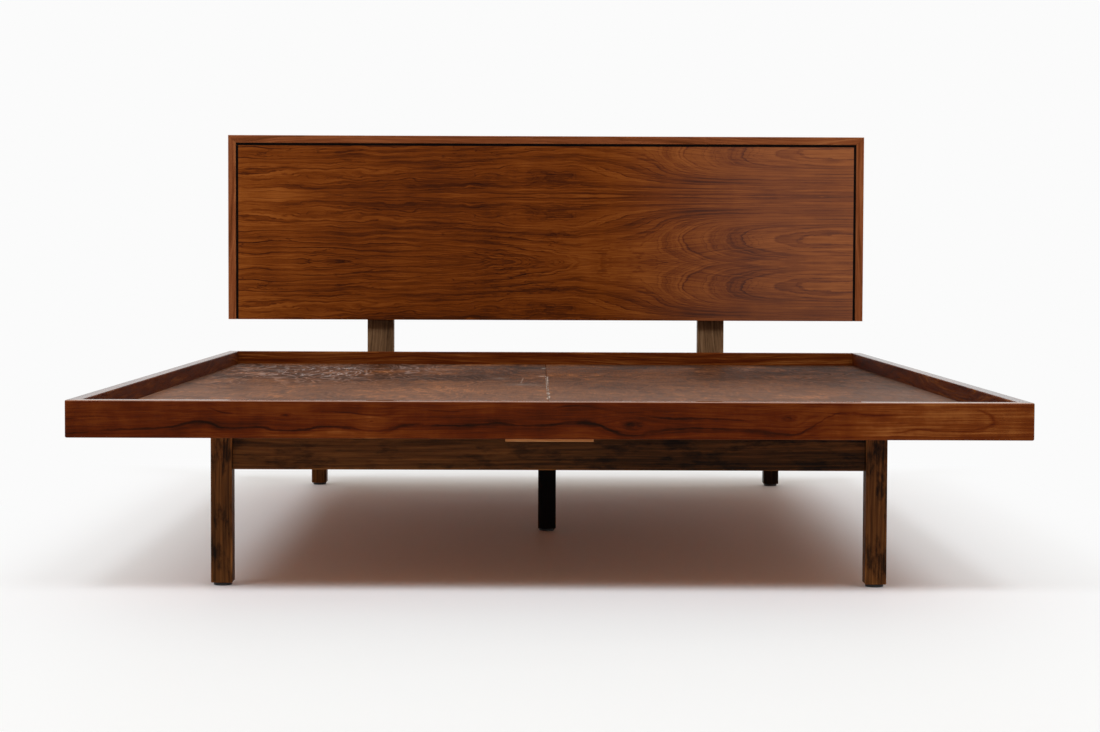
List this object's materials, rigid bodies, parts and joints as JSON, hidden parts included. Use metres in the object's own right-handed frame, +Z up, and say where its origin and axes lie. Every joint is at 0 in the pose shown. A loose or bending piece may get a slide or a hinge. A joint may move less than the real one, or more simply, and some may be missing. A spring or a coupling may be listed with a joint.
{
  "type": "platform bed",
  "caption": "Low platform bed: a mitred wooden tray with a loose panel deck on an inset leg base, with a framed panel headboard carried on posts.",
  "frame": {"origin": "on the floor, at the middle of the bed's outline seen from above", "axes": "+X to the right seen from the foot end, +Y from the foot towards the headboard, +Z up"},
  "size_m": [1.59, 2.1222, 0.874],
  "materials": {
    "walnut_rail": "dark walnut, satin lacquer",
    "walnut_veneer": "walnut veneer with a cathedral figure, satin",
    "walnut_frame": "walnut strip, satin",
    "deck_veneer": "worn veneered panel, half gloss",
    "raw_timber": "bare timber",
    "espresso_stain": "blotchy espresso stain, satin",
    "stained_post": "grey-brown stain, satin",
    "black_nylon": "moulded black",
    "zinc_steel": "zinc plated"
  },
  "bodies": {
    "bed_frame": {"centre_beam": "espresso_stain", "centre_bearer": "raw_timber", "centre_glide": "black_nylon", "centre_leg": "espresso_stain", "cross_bearer_left_1": "raw_timber", "cross_bearer_left_2": "raw_timber", "cross_bearer_left_3": "raw_timber", "cross_bearer_right_1": "raw_timber", "cross_bearer_right_2": "raw_timber", "cross_bearer_right_3": "raw_timber", "foot_ledger": "raw_timber", "foot_rail": "walnut_rail", "front_cleat": "raw_timber", "front_left_glide": "black_nylon", "front_left_leg": "espresso_stain", "front_right_glide": "black_nylon", "front_right_leg": "espresso_stain", "front_stretcher": "espresso_stain", "head_ledger": "raw_timber", "head_rail": "walnut_rail", "headboard_frame_left": "walnut_frame", "headboard_frame_right": "walnut_frame", "headboard_frame_top": "walnut_frame", "headboard_panel": "walnut_veneer", "headboard_post_left": "stained_post", "headboard_post_right": "stained_post", "left_ledger": "raw_timber", "left_side_rail": "walnut_rail", "left_stretcher": "espresso_stain", "mitre_tongue_foot_left": "raw_timber", "mitre_tongue_foot_right": "raw_timber", "mitre_tongue_head_left": "raw_timber", "mitre_tongue_head_right": "raw_timber", "panel_screw_left_1": "zinc_steel", "panel_screw_left_2": "zinc_steel", "panel_screw_left_3": "zinc_steel", "panel_screw_right_1": "zinc_steel", "panel_screw_right_2": "zinc_steel", "panel_screw_right_3": "zinc_steel", "post_bolt_left_lower": "zinc_steel", "post_bolt_left_upper": "zinc_steel", "post_bolt_right_lower": "zinc_steel", "post_bolt_right_upper": "zinc_steel", "post_nut_left_lower": "zinc_steel", "post_nut_left_upper": "zinc_steel", "post_nut_right_lower": "zinc_steel", "post_nut_right_upper": "zinc_steel", "rear_left_glide": "black_nylon", "rear_left_leg": "espresso_stain", "rear_right_glide": "black_nylon", "rear_right_leg": "espresso_stain", "rear_stretcher": "espresso_stain", "right_ledger": "raw_timber", "right_side_rail": "walnut_rail", "right_stretcher": "espresso_stain"},
    "deck_left": {"deck_panel_left": "deck_veneer"},
    "deck_right": {"deck_panel_right": "deck_veneer"}
  },
  "joints": [
    {"name": "deck_left_lift", "type": "slide", "parent": "bed_frame", "child": "deck_left", "axis": [0, 0, 1], "range_m": [0, 0.1]},
    {"name": "deck_right_lift", "type": "slide", "parent": "bed_frame", "child": "deck_right", "axis": [0, 0, 1], "range_m": [0, 0.1]}
  ]
}
